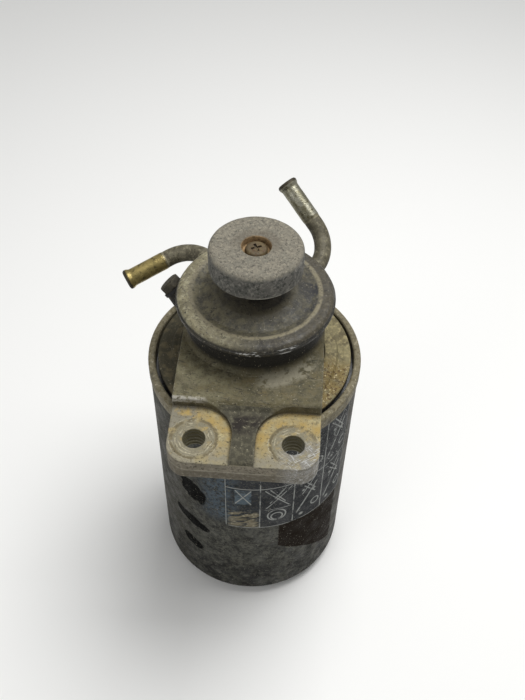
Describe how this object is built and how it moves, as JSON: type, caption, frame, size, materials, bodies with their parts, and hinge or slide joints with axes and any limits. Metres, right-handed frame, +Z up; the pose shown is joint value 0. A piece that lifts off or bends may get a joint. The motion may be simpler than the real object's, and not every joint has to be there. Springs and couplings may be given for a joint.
{
  "type": "fuel filter",
  "caption": "Spin-on fuel filter canister on a cast head with a diaphragm hand primer, bent hose pipes, a vent plug and a bolt flange.",
  "frame": {"origin": "centre of the canister's standing ring, on the surface it stands on", "axes": "+Z up the canister axis through the hand pump; the bolt flange reaches towards -Y; +X to the right seen from the flange"},
  "size_m": [0.1092, 0.1356, 0.203],
  "materials": {
    "cast_alloy": "dusty as-cast",
    "plated_pipe": "worn yellow zinc plate",
    "cover_paint": "dusty black paint",
    "can_paint": "semi-gloss black paint",
    "knob_plastic": "grained, dusty",
    "plated_screw": "tarnished plate",
    "plain_steel": "plain",
    "spring_steel": "drawn wire",
    "brass": "turned",
    "rubber": "matt",
    "filter_paper": "resin-treated paper"
  },
  "bodies": {
    "head": {"head_casting": "cast_alloy", "centre_stud": "plain_steel", "inlet_pipe": "plated_pipe", "outlet_pipe": "plated_pipe", "pump_cover": "cover_paint", "rod_bush": "brass", "rod_seal": "rubber", "pump_diaphragm": "rubber", "return_spring": "spring_steel", "inlet_valve_seat": "brass", "inlet_valve_cage": "plain_steel", "inlet_valve_spring": "spring_steel", "outlet_valve_seat": "brass", "outlet_valve_cage": "plain_steel", "outlet_valve_spring": "spring_steel"},
    "primer": {"pump_knob": "knob_plastic", "knob_screw": "plated_screw", "pump_rod": "plain_steel", "upper_plate": "plain_steel", "lower_plate": "plain_steel", "rod_nut": "plain_steel"},
    "inlet_valve": {"inlet_valve_disc": "rubber"},
    "outlet_valve": {"outlet_valve_disc": "rubber"},
    "gasket": {"canister_gasket": "rubber"},
    "canister": {"canister_shell": "can_paint", "gasket_retainer": "plain_steel", "tapping_plate": "plain_steel", "stud_seal": "rubber", "element_paper": "filter_paper", "centre_tube": "plain_steel", "top_end_cap": "plain_steel", "bottom_end_cap": "plain_steel", "element_spring": "spring_steel", "drain_nut": "plain_steel"},
    "vent_seal": {"vent_washer": "rubber"},
    "vent": {"vent_plug": "plated_screw"},
    "drain_seal": {"drain_ring": "rubber"},
    "drain": {"drain_plug": "plated_screw"}
  },
  "joints": [
    {"name": "primer_stroke", "type": "slide", "parent": "head", "child": "primer", "axis": [0, 0, -1], "range_m": [0, 0.008], "stiffness_N_per_m": 1200, "springref_m": -0.007, "deforming": ["return_spring", "pump_diaphragm"]},
    {"name": "inlet_valve_lift", "type": "slide", "parent": "head", "child": "inlet_valve", "axis": [0, 0, 1], "range_m": [0, 0.0008], "stiffness_N_per_m": 30, "springref_m": -0.002, "deforming": ["inlet_valve_spring"]},
    {"name": "outlet_valve_lift", "type": "slide", "parent": "head", "child": "outlet_valve", "axis": [0, 0, -1], "range_m": [0, 0.0008], "stiffness_N_per_m": 30, "springref_m": -0.002, "deforming": ["outlet_valve_spring"]},
    {"name": "gasket_drop", "type": "slide", "parent": "head", "child": "gasket", "axis": [0, 0, -1], "range_m": [0, 0.012]},
    {"name": "canister_turn", "type": "hinge", "parent": "gasket", "child": "canister", "pos_m": [0, 0, 0.1285], "axis": [0, 0, -1], "range_deg": [0, 2880]},
    {"name": "vent_rise", "type": "slide", "parent": "head", "child": "vent_seal", "axis": [-0.7148, 0.2606, 0.6489], "range_m": [0, 0.009]},
    {"name": "vent_turn", "type": "hinge", "parent": "vent_seal", "child": "vent", "pos_m": [-0.0345, 0.0075, 0.1691], "axis": [-0.7148, 0.2606, 0.6489], "range_deg": [0, 3240]},
    {"name": "drain_drop", "type": "slide", "parent": "canister", "child": "drain_seal", "axis": [0, 0, -1], "range_m": [0, 0.006]},
    {"name": "drain_turn", "type": "hinge", "parent": "drain_seal", "child": "drain", "pos_m": [0, 0, 0.005], "axis": [0, 0, -1], "range_deg": [0, 1440]}
  ],
  "couplings": [
    {"joint": "gasket_drop", "follows": "canister_turn", "m_per_rad": 0.00023873},
    {"joint": "vent_turn", "follows": "vent_rise", "rad_per_m": 6283.2},
    {"joint": "drain_turn", "follows": "drain_drop", "rad_per_m": 4188.8}
  ]
}
